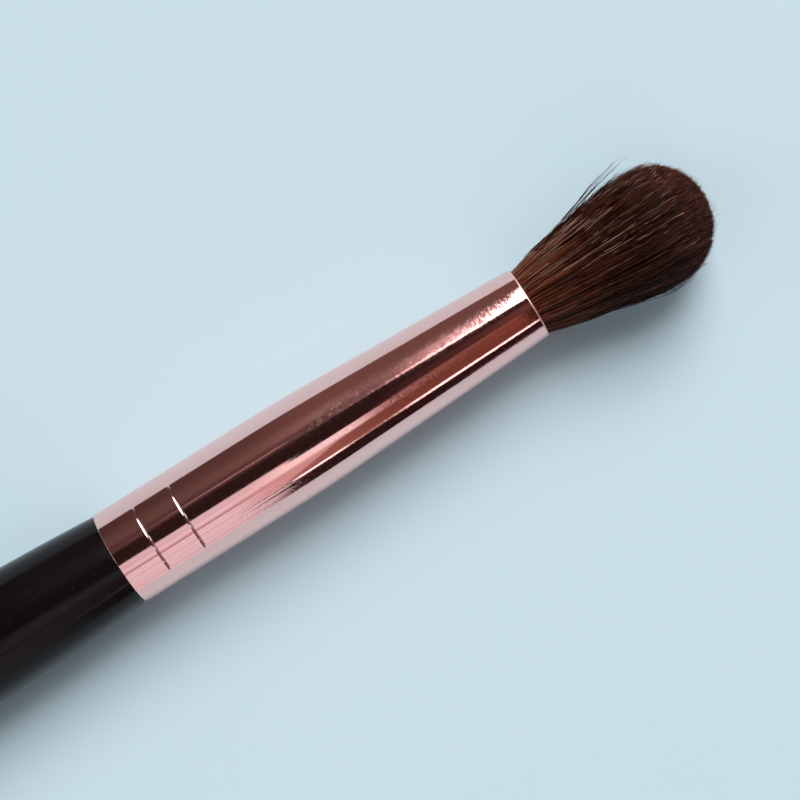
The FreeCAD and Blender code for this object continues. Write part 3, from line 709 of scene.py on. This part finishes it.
def hair_tree():
    """Geometry nodes that lay strands from the mouth to the dome, in millimetres from the mouth."""
    tree = bpy.data.node_groups.new("hair_strands", "GeometryNodeTree")
    tree.interface.new_socket("Geometry", in_out="OUTPUT", socket_type="NodeSocketGeometry")
    for name, kind, default in HAIR_INPUTS:
        socket = tree.interface.new_socket(name, in_out="INPUT", socket_type="NodeSocket" + kind)
        socket.default_value = default
    tree.interface.new_socket("Material", in_out="INPUT", socket_type="NodeSocketMaterial")
    given = node(tree, "NodeGroupInput").outputs

    def value(name):
        """One of the tree's own inputs."""
        return Value(tree, given[name])

    one = node(tree, "GeometryNodeCurvePrimitiveLine", {"End": (1.0, 0.0, 0.0)})
    points = node(tree, "GeometryNodeResampleCurve", {"Curve": one.outputs[0], "Count": given["Points"]})
    many = {"Geometry": points.outputs[0], "Amount": given["Strands"]}
    copies = node(tree, "GeometryNodeDuplicateElements", many, domain="SPLINE")
    strand = copies.outputs["Duplicate Index"]
    draws = iter(range(MOST_DRAWS))

    def draw(low, high):
        """A random number of the strand's own."""
        inputs = {"Min": low, "Max": high, "ID": strand, "Seed": value("Seed") * MOST_DRAWS + next(draws)}
        return Value(tree, in_use(node(tree, "FunctionNodeRandomValue", inputs).outputs, "Value"))

    along = Value(tree, node(tree, "GeometryNodeSplineParameter").outputs["Factor"])
    share = draw(value("Inner share") ** 2, value("Outer share") ** 2) ** 0.5
    turn = draw(value("Turn from"), value("Turn to"))
    spots = (share * turn.math("COSINE"), share * turn.math("SINE"))

    # Where the hair ends, and how far out along it each of its points lies.
    end = dome_end(share)
    end = end + draw(-1.0, 1.0) * draw(0.0, 1.0) * value("Uneven") - draw(0.0, 1.0) * value("Shorter")
    begin = value("Start") + draw(0.0, 1.0) * value("Start spread")
    x = begin + (end - begin) * along
    out = (x / HAIR_LENGTH).math("MAXIMUM", 0)

    # Neighbours cling together in locks, most at the root, and each hair wanders a little. The smaller
    # locks stand a little higher or lower than their neighbours, and are lighter or darker.
    clinging = list(spots)
    for size_share, pull_share in LOCK_SHARES:
        cells = {"Vector": joined(tree, *spots), "Scale": 1 / size_share}
        lock = node(tree, "ShaderNodeTexVoronoi", cells, voronoi_dimensions="2D").outputs
        middles = split(tree, lock["Position"])
        outlying = (middles[0] ** 2 + middles[1] ** 2) ** 0.5
        drawn_in = (LOCK_LIMIT_SHARE / outlying.math("MAXIMUM", LEAST_OUTLYING)).math("MINIMUM", 1.0)
        pull = value("Lock pull") * pull_share * draw(*LOCK_PULL_DRAW) * (1 - out * LOCK_LOOSE_SHARE)
        for i in range(2):
            clinging[i] = clinging[i] + (middles[i] * drawn_in - spots[i]) * pull
    height_lot, tone_lot, _ = split(tree, lock["Color"])
    showing = out.step(*LOCK_SHOWS) * (1 - out.step(*LOCK_FADES) * LOCK_FADE_SHARE)
    standing = 1 + (height_lot - 0.5) * value("Lock pull") * LOCK_DEPTH_SHARE * showing
    path = {"W": Value(tree, strand) * WANDER_APART + x * WANDERS_PER_MM, "Scale": 1.0, "Detail": 1.0}
    wave = node(tree, "ShaderNodeTexNoise", path, noise_dimensions="1D").outputs["Color"]
    waves = [part - 0.5 for part in split(tree, wave)]
    bundle = bundle_radius(x)
    lift = 1 + out**LIFT_BEND * value("Lift") * draw(*LIFT_DRAW) + waves[2] * out * HAIR_DIVE_SHARE
    y, z = (
        (clinging[i] * standing + draw(-1.0, 1.0) * out * HAIR_SPREAD) * lift * bundle
        + waves[i] * out * HAIR_WANDER
        for i in range(2)
    )
    y = y - (out**LEAN_BEND * math.pi).math("SINE") * LEAN_ASIDE
    moved = {"Geometry": copies.outputs[0], "Position": joined(tree, x, y, z)}
    laid = node(tree, "GeometryNodeSetPosition", moved).outputs[0]

    # The tone, with its painted side shade, and the place along the bundle travel on to the mesh, as its
    # map.
    spread = draw(0.0, 1.0) ** value("Tone bias") + (tone_lot - 0.5) * value("Lock tone")
    # +Y hairs, on the softbox's side, are painted lighter and -Y hairs darker: painted light and shade.
    spread = spread + spots[0] * value("Side tone")
    spread = spread.math("MAXIMUM", 0.0).math("MINIMUM", 1.0)
    tone = value("Tone from") + (value("Tone to") - value("Tone from")) * spread
    tubes = as_tubes(tree, laid, along, value("Thickness"), tone, out)
    smooth = node(tree, "GeometryNodeSetShadeSmooth", {"Geometry": tubes}).outputs[0]
    real = node(tree, "GeometryNodeRealizeInstances", {"Geometry": smooth}).outputs[0]
    dressed = node(tree, "GeometryNodeSetMaterial", {"Geometry": real, "Material": given["Material"]})
    node(tree, "NodeGroupOutput", {"Geometry": dressed.outputs[0]})
    return tree


def lay_hair(name, tree, material, **sizes):
    """Runs the hair tree on an empty piece and keeps what it makes as a plain mesh."""
    holder = new_object(name + "_nodes", bpy.data.meshes.new(name + "_nodes"))
    modifier = holder.modifiers.new("strands", "NODES")
    modifier.node_group = tree
    named = {item.name: item.identifier for item in tree.interface.items_tree if item.in_out == "INPUT"}
    modifier[named["Material"]] = material
    for title, size in sizes.items():
        modifier[named[title.replace("_", " ")]] = size
    graph = bpy.context.evaluated_depsgraph_get()
    mesh = bpy.data.meshes.new_from_object(holder.evaluated_get(graph), depsgraph=graph)
    bpy.data.objects.remove(holder)
    mesh.name = name
    mesh.transform(Matrix.Translation((MOUTH * MM, 0, 0)) @ Matrix.Scale(MM, 4))
    made = new_object(name, mesh)
    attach(made, "root")
    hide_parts("hair_tuft")


hair_material, tree, shader = new_material(
    "brown_hair", IOR=1.4, Specular_IOR_Level=0.30, Specular_Tint=HAIR_SHEEN
)
# The tone on the map holds the hair's own tone and also the painted light and shade of its side.
tone, map_out, _ = split(tree, node(tree, "ShaderNodeUVMap", uv_map="OFBake").outputs[0])
out = (map_out - OUT_START) / OUT_SPAN
mottle = noise(tree, 0.22, stretch=(4, 1, 1), detail=2)
shade = tone * (MOTTLE_LEAST + mottle.step(*NOISE_SPAN) * MOTTLE_SPAN)
body = shade.step(0.0, BROWN_TONE).mix(HAIR_INK, HAIR_BROWN)
warmth = (1 - out.step(*WARM_OUT)) * WARM_SHARE * shade.step(*WARM_SHADES)
plum = out.step(*PLUM_OUT) * shade.step(*PLUM_SHADES)
tipped = plum.mix(warmth.mix(body, ROOT_WARMTH), TIP_PLUM)
feed(tree, shader.inputs["Base Color"], tone.step(*GOLD_TONES).mix(tipped, HAIR_GOLD))
feed(tree, shader.inputs["Roughness"], tone.mix(HAIR_DULL, HAIR_SHINY))

strands = hair_tree()
for name, sizes in HAIR_KINDS:
    lay_hair(name, strands, hair_material, **sizes)

# The solid bundle's material is near black: painted shade for the depth between the locks.
shade_core_material, tree, shader = new_material("painted_shade_core", Roughness=0.7, Specular_IOR_Level=0.2)
fibre = noise(tree, 0.2, stretch=(40, 1, 1), detail=3, roughness=0.6)
feed(tree, shader.inputs["Base Color"], fibre.step(0.35, 0.7).mix(CORE_SHADE_DARK, CORE_SHADE_BROWN))
bumped(tree, shader, fibre, depth=0.05, strength=0.6)
core_root_radius = HAIR_MOUTH_RADIUS * CORE_ROOT_SHARE
core_outline = (
    [(-ROOT_LENGTH, 0.0), (-ROOT_LENGTH, core_root_radius), (0.0, core_root_radius)]
    + arc(flank_centre, FLANK_RADIUS, flank_angle, math.pi / 2)
    + arc((HAIR_FULL_PLACE, brow_height), brow_radius, math.pi / 2, brow_angle)
    + arc((crown_place, 0), CROWN_RADIUS, brow_angle, 0)
)
core_outline = [
    (MOUTH + x - CORE_CROWN_DEPTH * max(0, x / HAIR_LENGTH), radius * (CORE_SHARE if x > 0 else 1))
    for x, radius in core_outline
]
core = turned("hair_mass", core_outline, shade_core_material, steps=CORE_STEPS)
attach(core, "root")
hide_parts("hair_tuft")


# Hidden inside the ferrule: glue on the spigot, thread round the roots and the resin behind them.
# Each keeps its mesh of the frame and gets a material: two colours, and the size of its clouds.
HIDDEN_ROUGHNESS = 0.4
HIDDEN_PIECES = (
    ("spigot_glue", (0.62, 0.50, 0.30, 1), (0.78, 0.68, 0.46, 1), 1.4),
    ("binding_thread", (0.60, 0.55, 0.46, 1), (0.78, 0.74, 0.66, 1), 0.17),
    ("root_resin", (0.45, 0.30, 0.12, 1), (0.62, 0.46, 0.24, 1), 2.0),
)
for node_name, dark, pale, size in HIDDEN_PIECES:
    hidden_material, tree, shader = new_material(node_name, Roughness=HIDDEN_ROUGHNESS)
    feed(tree, shader.inputs["Base Color"], noise(tree, size, detail=3).step(*NOISE_SPAN).mix(dark, pale))
    hidden = frame["nodes"][node_name]
    hidden.data.materials.clear()
    hidden.data.materials.append(hidden_material)
